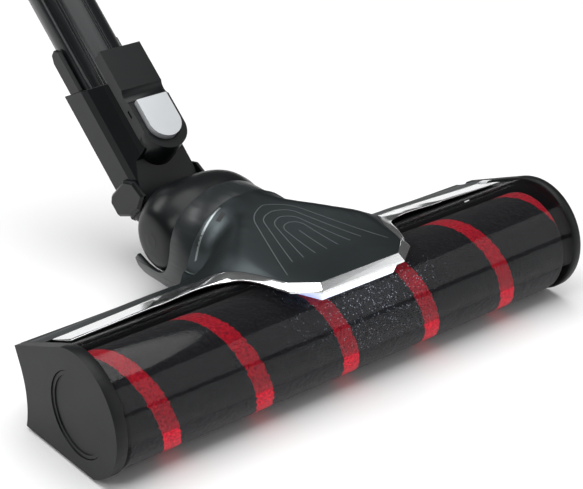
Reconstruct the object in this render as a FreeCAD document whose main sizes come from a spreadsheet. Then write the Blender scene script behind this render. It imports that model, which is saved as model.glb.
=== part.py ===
"""Motorised soft-roller floor head of a stick vacuum cleaner, with its swivel neck and tube end.

Built about the roller window's axis: X runs along the roller, -Y is the front, Z=0 is the floor.
At the end every sub-part is shifted in Y, so that the origin is the bottom centre of the whole.
"""

import FreeCAD, Part
import math
import os
import Sketcher
from FreeCAD import Placement, Rotation, Vector

os.makedirs("parts", exist_ok=True)
doc = FreeCAD.newDocument("floor_head")
sheet = doc.addObject("Spreadsheet::Sheet", "Sizes")
cell_row = 0


def size(alias, value, note):
    """Write one driving dimension to the sheet and return it."""
    global cell_row
    cell_row += 1
    sheet.set("A%d" % cell_row, note)
    sheet.set("B%d" % cell_row, str(value))
    sheet.setAlias("B%d" % cell_row, alias)
    return value


# ---- driving dimensions, mm ------------------------------------------------------------------
head_length = size("head_length", 260.0, "overall width of the head, along the roller")
cap_thick = size("cap_thick", 5.2, "thickness of each end cap")
cap_radius = size("cap_radius", 27.6, "front rounding of the end caps")
cap_bottom = size("cap_bottom", 1.4, "height of the caps' flat bottom above the floor")
cap_depth = size("cap_depth", 46.5, "rear corner of the caps behind the roller axis")
roof_angle = size("roof_angle", 23.0, "slope of the flat roof behind the roller, degrees")
window_radius = size("window_radius", 27.0, "outside radius of the roller window")
window_wall = size("window_wall", 1.6, "thickness of the window")
window_back = size("window_back", 62.0, "angle of the window's rear edge, degrees")
window_lip = size("window_lip", 190.5, "angle of the window's front lower edge, degrees")
roller_radius = size("roller_radius", 24.5, "radius over the soft pile")
pile_thick = size("pile_thick", 6.0, "depth of the soft pile")
core_wall = size("core_wall", 1.8, "wall of the roller core")
motor_gap = size("motor_gap", 4.7, "space between the motor can and the roller core")
motor_length = size("motor_length", 82.0, "length of the motor and gear can")
chamber_gap = size("chamber_gap", 1.5, "space between pile and chamber wall")
shell_wall = size("shell_wall", 2.0, "wall of the moulded shells")
roof_depth = size("roof_depth", 51.2, "rear top edge of the housing behind the roller axis")
strip_front = size("strip_front", 15.6, "front edge of the bright strip")
strip_back = size("strip_back", 30.6, "rear edge of the bright strip")
strip_thick = size("strip_thick", 1.5, "thickness of the bright strip")
nose_height = size("nose_height", 57.8, "height of the nose's flat top")
nose_front = size("nose_front", 18.5, "nose tip ahead of the roller axis")
nose_half = size("nose_half", 21.6, "half width of the nose tip")
hump_height = size("hump_height", 62.6, "height of the cover over the swivel drum")
hump_back = size("hump_back", 62.0, "rear end of the cover over the drum")
drum_radius = size("drum_radius", 31.0, "outside radius of the swivel drum")
drum_height = size("drum_height", 31.4, "height of the swivel axis")
drum_wall = size("drum_wall", 2.0, "wall of the swivel drum")
spigot_step = size("spigot_step", 5.5, "spigot's radius below the drum's")
drum_front = size("drum_front", 52.0, "front end of the drum")
drum_rim = size("drum_rim", 79.0, "upper rim of the drum")
chin_back = size("chin_back", 109.0, "rear end of the drum's chin")
tilt_y = size("tilt_y", 93.0, "tilt axis behind the roller axis")
tilt_z = size("tilt_z", 36.0, "height of the tilt axis")
trunnion_radius = size("trunnion_radius", 15.0, "radius of the tilt trunnions")
ball_radius = size("ball_radius", 23.5, "largest radius of the elbow barrel")
tube_angle = size("tube_angle", 40.0, "tube's slope above the floor at rest, degrees")
tube_offset = size("tube_offset", 45.5, "tube axis below the roller-axis line, along the tube's normal")
tube_radius = size("tube_radius", 14.6, "outside radius of the extension tube")
tube_wall = size("tube_wall", 1.6, "wall of the tube")
tube_seat = size("tube_seat", 140.0, "seat of the tube in the sleeve, measured along the tube")
tube_end = size("tube_end", 258.0, "open end of the tube, measured along it")
sleeve_gap = size("sleeve_gap", 0.3, "clearance of the tube in the sleeve")
sleeve_wall = size("sleeve_wall", 2.6, "wall of the sleeve")
sleeve_under = size("sleeve_under", 1.3, "wall of the sleeve behind the tube")
sleeve_low = size("sleeve_low", 117.0, "lower end of the sleeve, along the tube")
sleeve_high = size("sleeve_high", 190.5, "highest point of the sleeve's slanted rim")
house_half = size("house_half", 11.5, "half width of the latch housing")
house_rise = size("house_rise", 7.4, "latch housing's stand above the sleeve's front")
house_low = size("house_low", 131.0, "rounded lower end of the latch housing")
house_high = size("house_high", 189.0, "upper end of the latch housing")
button_half = size("button_half", 8.5, "half width of the release button")
button_low = size("button_low", 136.0, "rounded end of the button")
button_high = size("button_high", 158.3, "straight end of the button")
button_rise = size("button_rise", 3.0, "button's stand above the housing face, which is its travel")
slide_gap = size("slide_gap", 0.3, "clearance round sliding pieces")
shaft_gap = size("shaft_gap", 0.05, "radial clearance of running shafts")
seat_gap = size("seat_gap", 0.3, "space between neighbouring covers")
wheel_radius = size("wheel_radius", 6.5, "radius of the floor wheels")
wheel_width = size("wheel_width", 7.0, "width of the floor wheels")
wheel_x = size("wheel_x", 70.0, "floor wheels each side of the middle")
wheel_y = size("wheel_y", 36.0, "floor wheels behind the roller axis")
lock_radius = size("lock_radius", 18.5, "radius of the end discs")
screw_radius = size("screw_radius", 2.6, "radius of the screw heads")
doc.recompute()

# ---- places worked out from them -------------------------------------------------------------
axis_z = cap_radius + 0.05
roller_z = roller_radius + 0.05
half = head_length / 2
inner_half = half - cap_thick
roof_cos = math.cos(math.radians(90 - roof_angle))
roof_sin = math.sin(math.radians(90 - roof_angle))
base_low = 2.2
base_back = cap_depth - 5.0
wall_top = 52.0
mouth_half = 24.0
mouth_low = 8.0
mouth_high = 34.0
screw_y = 33.0
screw_places = (-108.0, -45.0, 45.0, 108.0)
axle_radius = 1.5
trim_thick = 0.8
trim_gap = 0.06
trim_left = 121.5
trim_right = 117.8
cover_margin = 4.0
bed_front = 13.4
spigot_radius = drum_radius - spigot_step
spigot_wall = 2.2
chin_top = 24.0
sleeve_back_n = tube_offset + tube_radius + sleeve_gap + sleeve_under
sleeve_side = tube_radius + sleeve_gap + sleeve_wall
sleeve_front_n = tube_offset - sleeve_side
house_front = sleeve_front_n - house_rise
rim_slope = 0.45
tube_grooves = ((25, 3.0, 1.0), (46, 0.9, 0.5), (52, 0.7, 0.4), (96, 0.7, 0.4), (101, 0.7, 0.4),
                (155, 3.0, 1.0), (-30, 3.0, 1.0), (-150, 3.0, 1.0))
parts = {}


def roof(y):
    """Height of the flat roof plane, which is tangent to the end caps' rounding."""
    return axis_z + (cap_radius - y * roof_cos) / roof_sin


def tube_point(along, normal, across=0.0):
    """A point given along the tube, along its upper normal, and across."""
    c = math.cos(math.radians(tube_angle))
    s = math.sin(math.radians(tube_angle))
    return Vector(across, along * c - normal * s, along * s + normal * c)


TUBE_FRAME = Rotation(
    Vector(1, 0, 0),
    tube_point(0, 1),
    tube_point(-1, 0),
    "XYZ",
)


def tube_place(along, normal=0.0):
    """Placement whose X is across, Y is the tube's upper normal and -Z runs up the tube."""
    return Placement(tube_point(along, normal), TUBE_FRAME)


def keep(label, item):
    item.Label = label
    parts[label] = item
    return item


def feature(label, shape):
    """A sub-part whose shape is made with Part's own functions."""
    item = doc.addObject("Part::Feature", label)
    item.Shape = shape
    item.Placement = Placement()
    return keep(label, item)


def tool_box(x0, x1, y0, y1, z0, z1):
    return Part.makeBox(x1 - x0, y1 - y0, z1 - z0, Vector(x0, y0, z0))


def rod(radius, start, direction, length):
    return Part.makeCylinder(radius, length, start, direction)


def prism(points, direction):
    """Solid swept from a closed polygon."""
    wire = Part.makePolygon(points + [points[0]])
    return Part.Face(wire).extrude(direction)


def loft(sections):
    return Part.makeLoft(sections, True)


X_AXIS = Vector(1, 0, 0)
Y_AXIS = Vector(0, 1, 0)
Z_AXIS = Vector(0, 0, 1)


def origin_plane(body, role):
    for item in body.Origin.OriginFeatures:
        if item.Role == role:
            return item
    raise ValueError(role)


def new_body(label):
    body = doc.addObject("PartDesign::Body", label)
    return keep(label, body)


def new_sketch(body, role, name):
    sketch = body.newObject("Sketcher::SketchObject", body.Name + "_" + name)
    sketch.AttachmentSupport = [(origin_plane(body, role), "")]
    sketch.MapMode = "FlatFace"
    return sketch


def circle(sketch, radius_text, cx=0.0, cy=0.0):
    """A circle whose radius follows the sheet."""
    index = sketch.addGeometry(Part.Circle(Vector(cx, cy, 0), Vector(0, 0, 1), 1.0), False)
    sketch.addConstraint(Sketcher.Constraint("Radius", index, 1.0))
    sketch.setExpression("Constraints[%d]" % (sketch.ConstraintCount - 1), radius_text)
    if cx == 0.0 and cy == 0.0:
        sketch.addConstraint(Sketcher.Constraint("Coincident", index, 3, -1, 1))
    else:
        sketch.addConstraint(Sketcher.Constraint("Block", index))
    return index


def outline(sketch, pieces, closing=None):
    """A closed outline: points joined by lines, or ("arc", through, end). closing is the last arc."""
    start = pieces[0]
    here = start
    last = start if closing is None else closing + (start,)
    for piece in pieces[1:] + [last]:
        if isinstance(piece, tuple) and piece[0] == "arc":
            through, end = piece[1], piece[2]
            edge = Part.Arc(Vector(*here, 0), Vector(*through, 0), Vector(*end, 0))
            here = end
        else:
            edge = Part.LineSegment(Vector(*here, 0), Vector(*piece, 0))
            here = piece
        sketch.addGeometry(edge, False)


def pad(body, sketch, length_text, midplane=False, reverse=False):
    item = body.newObject("PartDesign::Pad", sketch.Name + "_pad")
    item.Profile = sketch
    item.Midplane = midplane
    item.Reversed = reverse
    item.setExpression("Length", length_text)
    return item


def pocket(body, sketch, length_text, midplane=False, reverse=False):
    """Cut a sketch, and make sure that it took material away."""
    doc.recompute()
    before = body.Shape.Volume
    item = body.newObject("PartDesign::Pocket", sketch.Name + "_pocket")
    item.Profile = sketch
    item.Midplane = midplane
    item.Reversed = reverse
    item.setExpression("Length", length_text)
    doc.recompute()
    if body.Shape.Volume >= before:
        raise ValueError("pocket cut nothing: " + sketch.Name)
    return item


def ring_body(label, outer_text, inner_text, length_text, place):
    """A tube, or a disc where the inner radius is None, along its own Z."""
    body = new_body(label)
    sketch = new_sketch(body, "XY_Plane", "section")
    circle(sketch, outer_text)
    if inner_text:
        circle(sketch, inner_text)
    pad(body, sketch, length_text)
    body.Placement = place
    return body


ALONG_X = Rotation(Vector(0, 1, 0), 90)


# ---- roller ----------------------------------------------------------------------------------
core_radius = roller_radius - pile_thick
core_inside = core_radius - core_wall
pile_clear = 3.0
core_clear = 1.2
pile_half = inner_half - pile_clear
core_half = inner_half - core_clear
motor_radius = core_inside - motor_gap
motor_start = 0.2
gear_length = 22.0
pin_radius = 3.0
socket_radius = 4.0
hub_rim = 4.3
hub_web = 3.6
hub_length = 12.0
plug_length = 16.0


def make_roller():
    at = Placement(Vector(-pile_half, 0, roller_z), ALONG_X)
    ring_body(
        "roller_pile",
        "Sizes.roller_radius",
        "Sizes.roller_radius - Sizes.pile_thick",
        "Sizes.head_length - 2 * Sizes.cap_thick - %g" % (2 * pile_clear),
        at,
    )
    at = Placement(Vector(-core_half, 0, roller_z), ALONG_X)
    ring_body(
        "roller_core",
        "Sizes.roller_radius - Sizes.pile_thick",
        "Sizes.roller_radius - Sizes.pile_thick - Sizes.core_wall",
        "Sizes.head_length - 2 * Sizes.cap_thick - %g" % (2 * core_clear),
        at,
    )
    # drive hub: a disc in the core with a splined socket for the motor's output shaft
    hub_x = -inner_half + motor_length + 6
    hub = rod(core_inside, Vector(hub_x, 0, roller_z), X_AXIS, hub_length)
    hub = hub.cut(rod(socket_radius, Vector(hub_x - 1, 0, roller_z), X_AXIS, hub_length - 2))
    for turn in range(6):
        tooth = tool_box(hub_x, hub_x + hub_length - 3, -0.8, 0.8,
                         roller_z + pin_radius + 0.3, roller_z + socket_radius + 0.5)
        tooth.rotate(Vector(hub_x, 0, roller_z), X_AXIS, 60 * turn)
        hub = hub.fuse(tooth)
    hole_place = (core_inside + hub_rim) / 2
    hole_radius = (core_inside - hub_rim) / 2 - hub_web
    for turn in range(6):
        angle = math.radians(60 * turn + 30)
        centre = Vector(hub_x - 1, hole_place * math.cos(angle), roller_z + hole_place * math.sin(angle))
        hub = hub.cut(rod(hole_radius, centre, X_AXIS, hub_length + 8))
    feature("drive_hub", hub)
    shaft = rod(pin_radius, Vector(hub_x - 10.6, 0, roller_z), X_AXIS, 18.6)
    feature("output_shaft", shaft)
    # tail plug with the bearing journal of the far end
    start = Vector(core_half - plug_length, 0, roller_z)
    plug = rod(core_inside, start, X_AXIS, plug_length)
    plug = plug.cut(rod(core_inside - 3, start - X_AXIS, X_AXIS, 10))
    plug = plug.cut(rod(pin_radius, start - X_AXIS, X_AXIS, plug_length + 4))
    feature("tail_plug", plug)
    feature("tail_pin", rod(pin_radius, start, X_AXIS, plug_length + 2.5))


def make_drive():
    """Motor and gear can, held by the left end cap and reaching into the roller."""
    start = Vector(-inner_half + motor_start, 0, roller_z)
    feature("motor_mount", rod(core_inside - 1.0, start, X_AXIS, 4).cut(
        rod(motor_radius, start - X_AXIS, X_AXIS, 10)))
    can = rod(motor_radius, start, X_AXIS, motor_length - gear_length)
    groove = rod(motor_radius + 1, start + X_AXIS * 34, X_AXIS, 2).cut(
        rod(motor_radius - 0.8, start + X_AXIS * 33, X_AXIS, 4))
    feature("roller_motor", can.cut(groove))
    box_start = start + X_AXIS * (motor_length - gear_length)
    gear = rod(motor_radius - 0.5, box_start, X_AXIS, gear_length - 1)
    gear = gear.cut(rod(pin_radius + shaft_gap, box_start + X_AXIS * (gear_length - 5), X_AXIS, 10))
    feature("gear_box", gear)


# ---- end caps --------------------------------------------------------------------------------
def cap_outline(grow=0.0):
    """Outline of an end cap in (y, z): flat bottom, round front, straight roof, hollow back."""
    r = cap_radius + grow
    low = cap_bottom - grow
    foot = -math.sqrt(r * r - (axis_z - low) ** 2)
    tangent = math.radians(90 - roof_angle)
    top = (r * math.cos(tangent), axis_z + r * math.sin(tangent))
    lift = grow / roof_sin
    return [
        (foot, low),
        ("arc", (-r, axis_z), top),
        (cap_depth + grow, roof(cap_depth + grow) + lift),
        (cap_depth - 2.6 + grow, roof(cap_depth) - 6.0),
        ("arc", (cap_depth - 6.6 + grow, 17.0), (cap_depth - 4.8 + grow, low)),
    ]


def make_caps():
    disc_y = 0.8
    disc_z = axis_z - 1.05
    recess_depth = 2.4
    # left cap: outline pad, round recess for the disc, raised rim round the outer face
    left = new_body("left_end_cap")
    sketch = new_sketch(left, "YZ_Plane", "outline")
    outline(sketch, cap_outline())
    pad(left, sketch, "Sizes.cap_thick")
    recess = new_sketch(left, "YZ_Plane", "recess")
    circle(recess, "Sizes.lock_radius + Sizes.seat_gap", disc_y, disc_z)
    pocket(left, recess, "%g" % recess_depth, reverse=True)
    left.Placement = Placement(Vector(-half, 0, 0), Rotation())
    disc = rod(lock_radius, Vector(-half + 0.5, disc_y, disc_z), X_AXIS, recess_depth - 0.5)
    disc = disc.cut(rod(lock_radius - 1.6, Vector(-half, disc_y, disc_z), X_AXIS, 1.0))
    feature("left_cap_disc", disc)
    right = new_body("right_end_cap")
    sketch = new_sketch(right, "YZ_Plane", "outline")
    outline(sketch, cap_outline())
    pad(right, sketch, "Sizes.cap_thick")
    hole = new_sketch(right, "YZ_Plane", "hole")
    circle(hole, "Sizes.lock_radius + Sizes.slide_gap", 0.0, roller_z)
    pocket(right, hole, "2 * Sizes.cap_thick", midplane=True)
    right.Placement = Placement(Vector(half - cap_thick, 0, 0), Rotation())
    # turning lock disc with a finger bar, and its bearing bush for the roller's tail pin
    start = Vector(inner_half, 0, roller_z)
    lock = rod(lock_radius, start, X_AXIS, cap_thick - 0.4)
    bowl = rod(lock_radius - 2.5, start + X_AXIS * 2.6, X_AXIS, 5)
    bar = tool_box(inner_half + 2.0, half + 2, -3.0, 3.0, roller_z - 20, roller_z + 20)
    lock = lock.cut(bowl.cut(bar))
    lock = lock.cut(rod(6.0, start - X_AXIS, X_AXIS, 2.6))
    feature("lock_disc", lock)
    bush = rod(6.0, start - X_AXIS * 1.0, X_AXIS, 2.6 - shaft_gap)
    bush = bush.cut(rod(3.0 + shaft_gap, start - X_AXIS * 2, X_AXIS, 6))
    feature("tail_bush", bush)


# ---- window, lamp and chassis ----------------------------------------------------------------
def polar(radius, degrees, z=None):
    a = math.radians(degrees)
    return (radius * math.cos(a), (axis_z if z is None else z) + radius * math.sin(a))


def make_window():
    body = new_body("roller_window")
    sketch = new_sketch(body, "YZ_Plane", "section")
    inner = window_radius - window_wall
    middle = (window_back + window_lip) / 2
    outline(sketch, [
        polar(window_radius, window_back),
        ("arc", polar(window_radius, middle), polar(window_radius, window_lip)),
        polar(inner, window_lip),
        ("arc", polar(inner, middle), polar(inner, window_back)),
    ])
    pad(body, sketch, "Sizes.head_length - 2 * Sizes.cap_thick - 0.4", midplane=True)


def make_chassis():
    """Base plate and the wall behind the roller, with the suction mouth and the wheel wells."""
    wall_in = roller_radius + chamber_gap
    wall_out = wall_in + 1.6
    body = new_body("chassis")
    sketch = new_sketch(body, "YZ_Plane", "section")
    lip_in = -math.degrees(math.asin((roller_z - base_low) / wall_in))
    floor_y = math.sqrt(wall_out ** 2 - (roller_z - base_low - shell_wall) ** 2)
    outline(sketch, [
        polar(wall_in, lip_in, roller_z),
        (base_back, base_low),
        (base_back, base_low + shell_wall),
        (floor_y, base_low + shell_wall),
        ("arc", polar(wall_out, 0, roller_z), polar(wall_out, wall_top, roller_z)),
        polar(wall_in, wall_top, roller_z),
    ], ("arc", polar(wall_in, 0, roller_z)))
    pad(body, sketch, "Sizes.head_length - 2 * Sizes.cap_thick - 0.4", midplane=True)
    mouth = new_sketch(body, "XZ_Plane", "mouth")
    outline(mouth, [(-mouth_half, mouth_low), (mouth_half, mouth_low),
                    (mouth_half, mouth_high), (-mouth_half, mouth_high)])
    pocket(body, mouth, "2 * Sizes.roof_depth", midplane=True)
    wells = new_sketch(body, "XY_Plane", "wells")
    for side in (-1, 1):
        x0 = side * wheel_x - wheel_width / 2 - 1
        x1 = side * wheel_x + wheel_width / 2 + 1
        outline(wells, [(x0, wheel_y - wheel_radius - 1), (x1, wheel_y - wheel_radius - 1),
                        (x1, base_back + 1.2), (x0, base_back + 1.2)])
    pocket(body, wells, "2 * (Sizes.wheel_radius + 2)", midplane=True)
    holes = new_sketch(body, "XY_Plane", "screw_holes")
    for x in screw_places:
        circle(holes, "Sizes.screw_radius + Sizes.shaft_gap", x, screw_y)
    pocket(body, holes, "2 * (Sizes.wheel_radius + 2)", midplane=True)


def make_base_fittings():
    """Wheels with their clips and axles, the base screws and the felt lip."""
    for side, name in ((-1, "left"), (1, "right")):
        centre = Vector(side * wheel_x, wheel_y, wheel_radius)
        wheel = new_body("wheel_" + name)
        sketch = new_sketch(wheel, "XY_Plane", "section")
        circle(sketch, "Sizes.wheel_radius")
        circle(sketch, "%g + Sizes.shaft_gap" % axle_radius)
        pad(wheel, sketch, "Sizes.wheel_width")
        wheel.Placement = Placement(centre - X_AXIS * (wheel_width / 2), ALONG_X)
        reach = wheel_width / 2 + 3.0
        axle = rod(axle_radius, centre - X_AXIS * reach, X_AXIS, 2 * reach)
        feature("wheel_axle_" + name, axle)
        clip = tool_box(centre.x - reach, centre.x + reach, wheel_y - 3.2, wheel_y + 3.2,
                        base_low + shell_wall, wheel_radius + 3.2)
        clip = clip.cut(tool_box(centre.x - reach + 1.8, centre.x + reach - 1.8,
                                 wheel_y - 9, wheel_y + 9, 0, 30))
        clip = clip.cut(rod(axle_radius, centre - X_AXIS * 20, X_AXIS, 40))
        feature("wheel_clip_" + name, clip)
    screws = []
    for x in screw_places:
        head = rod(screw_radius, Vector(x, screw_y, base_low + 0.3), Z_AXIS, 1.5)
        slot = tool_box(x - 1.6, x + 1.6, screw_y - 0.4, screw_y + 0.4, base_low, base_low + 1.0)
        shank = rod(1.4, Vector(x, screw_y, base_low + 1.8), Z_AXIS, 9)
        screws.append(head.cut(slot).fuse(shank))
    feature("base_screws", Part.makeCompound(screws))
    feature("felt_lip", tool_box(-inner_half + 4, inner_half - 4, 20.0, 25.0, 0.7, base_low))


# ---- roof, cover and bright trim -------------------------------------------------------------
def ease(value):
    """Smooth step from 0 to 1."""
    value = min(1.0, max(0.0, value))
    return value * value * (3 - 2 * value)


def roof_rise(x):
    """The roof's slight crown towards the middle."""
    return 2.2 * ease((inner_half - abs(x)) / 60.0)


def edge_points(half_points):
    """A symmetric row of points from its right half, which starts beside the middle."""
    left = [Vector(-x, y, z) for x, y, z in reversed(half_points)]
    return left + [Vector(x, y, z) for x, y, z in half_points]


def trim_profile():
    """Right half of the bright trim's rear and front edges, as (nose corners, swoop, far end)."""
    tip = nose_half
    top = nose_height
    low = roof(strip_front)
    inner = [
        (tip, -nose_front),
        (tip + 9.9, -nose_front + 8.9),
        (tip + 11.6, -nose_front + 14.0),
        (tip + 13.9, -nose_front + 21.3),
        (tip + 17.6, -nose_front + 30.5),
        (tip + 23.0, strip_back - 10.6),
        (tip + 29.4, strip_back - 4.4),
        (tip + 37.4, strip_back - 0.8),
        (tip + 48.0, strip_back),
    ]
    outer = [
        (tip + 1.1, -nose_front - 3.2, top - 3.0),
        (tip + 12.1, -nose_front + 5.1, top - 2.9),
        (tip + 14.2, -nose_front + 10.5, top - 2.6),
        (tip + 17.0, -nose_front + 17.1, top - 2.1),
        (tip + 21.3, strip_front - 7.4, top - 3.1),
        (tip + 26.9, strip_front - 1.3, low + 1.9),
        (tip + 35.4, strip_front + 1.2, low + 1.4),
        (tip + 45.8, strip_front + 1.4, low + 1.0),
        (tip + 60.0, strip_front + 1.2, low + 0.7),
    ]
    return inner, outer


def smooth_edge():
    """Rear edge of the trim with its corners rounded, which carries the cover's heights."""
    tip = nose_half
    top = nose_height
    back_end = roof(strip_back)
    half_points = [
        (tip * 0.35, -nose_front, top),
        (tip, -nose_front, top),
        (tip + 9.3, -nose_front + 9.5, top - 0.5),
        (tip + 13.2, -nose_front + 21.3, top - 0.8),
        (tip + 17.6, -nose_front + 30.5, top - 1.8),
        (tip + 23.0, strip_back - 10.6, top - 3.8),
        (tip + 29.4, strip_back - 4.4, back_end + 5.2),
        (tip + 37.4, strip_back - 0.8, back_end + 3.0),
        (tip + 48.0, strip_back, back_end + 2.2),
        (tip + 75.0, strip_back, back_end + 1.2),
        (inner_half - 0.2, strip_back, back_end),
    ]
    return edge_points(half_points)


def spline(points):
    curve = Part.BSplineCurve()
    curve.interpolate(points)
    return curve


def ruled_band(pairs, thick):
    """A solid band between matching edge curves, with its underside straight below."""
    drop = Vector(0, 0, -thick)
    faces = []
    for first, second in pairs:
        upper = [edge_curve(first), edge_curve(second)]
        lower = [edge_curve([p + drop for p in first]), edge_curve([p + drop for p in second])]
        for a, b in ((upper[0], upper[1]), (lower[0], lower[1]), (upper[0], lower[0]),
                     (upper[1], lower[1])):
            faces.append(Part.makeRuledSurface(a, b))
    for pair, end in ((pairs[0], 0), (pairs[-1], -1)):
        first, second = pair[0][end], pair[1][end]
        corners = [first, second, second + drop, first + drop]
        faces.append(Part.Face(Part.makePolygon(corners + [corners[0]])))
    shell = Part.Shell(faces)
    shell.sewShape()
    solid = Part.Solid(shell)
    if solid.Volume < 0:
        solid.reverse()
    return solid


def edge_curve(points):
    """A straight edge through two points, or a smooth one through more."""
    if len(points) == 2:
        return Part.makeLine(points[0], points[1])
    return spline(points).toShape()


def cover_height(x, y):
    """Outer surface of the top cover: a flat roof at the sides, a hump to the drum in the middle."""
    a = abs(x)
    flat = roof(y) + roof_rise(x) * ease((roof_depth - y) / 12.0 + 0.4)
    top = nose_height + (hump_height - nose_height) * ease((y + 5.0) / (hump_back + 3.0))
    along = ease((y - 5.0) / (hump_back - 8.0))
    crest = 35.0 - 27.0 * along
    foot = 70.0 - 26.0 * along
    flank = flat + (top - flat) * ease((foot - a) / (foot - crest)) ** 1.15
    reach = drum_radius + seat_gap + 0.6
    arch = drum_height + math.sqrt(max(reach ** 2 - a ** 2, 9.0))
    blend = ease((y - roof_depth + 12.0) / (hump_back - roof_depth + 10.0))
    if a > reach:
        arch = min(flank, drum_height + 3.0)
    return flank * (1 - blend) + min(arch, top) * blend


def cover_columns():
    """Grid of points of the cover's outer surface, running a little past its front edge."""
    edge = spline(smooth_edge())
    rows = 15
    count = 61
    columns = []
    for k in range(count):
        u = edge.FirstParameter + (edge.LastParameter - edge.FirstParameter) * k / (count - 1)
        front = edge.value(u)
        reach = ease((46.0 - abs(front.x)) / 14.0)
        back = roof_depth + (hump_back - roof_depth) * reach
        shift = front.z - cover_height(front.x, front.y)
        start = front.y - cover_margin
        column = []
        for j in range(rows):
            y = start + (back - start) * j / (rows - 1.0)
            f = max(0.0, (y - front.y) / (back - front.y))
            z = cover_height(front.x, y) + shift * (1 - f) ** 3
            column.append(Vector(front.x, y, z))
        columns.append(column)
    return columns


def surface_height(surface, x, y):
    """Height of the cover's outer surface at a place in plan."""
    line = Part.makeLine(Vector(x, y, 20), Vector(x, y, 90))
    found = line.common(surface)
    if found.Vertexes:
        return max(v.Z for v in found.Vertexes)
    near = line.distToShape(surface)[1][0][1]
    return near.z


def grid_surface(columns):
    surface = Part.BSplineSurface()
    surface.interpolate(columns)
    return surface


def skin_solid(columns, thick):
    """A closed solid between a grid surface and the same surface lower by its thickness."""
    drop = Vector(0, 0, -thick)
    upper = grid_surface(columns)
    lower = grid_surface([[p + drop for p in column] for column in columns])
    top = upper.toShape()
    low = lower.toShape()
    faces = [top, low]
    for get in (lambda s: s.uIso(s.bounds()[0]), lambda s: s.uIso(s.bounds()[1]),
                lambda s: s.vIso(s.bounds()[2]), lambda s: s.vIso(s.bounds()[3])):
        faces.append(Part.makeRuledSurface(get(upper).toShape(), get(lower).toShape()))
    shell = Part.Shell(faces)
    shell.sewShape()
    solid = Part.Solid(shell)
    if solid.Volume < 0:
        solid.reverse()
    return solid


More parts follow.
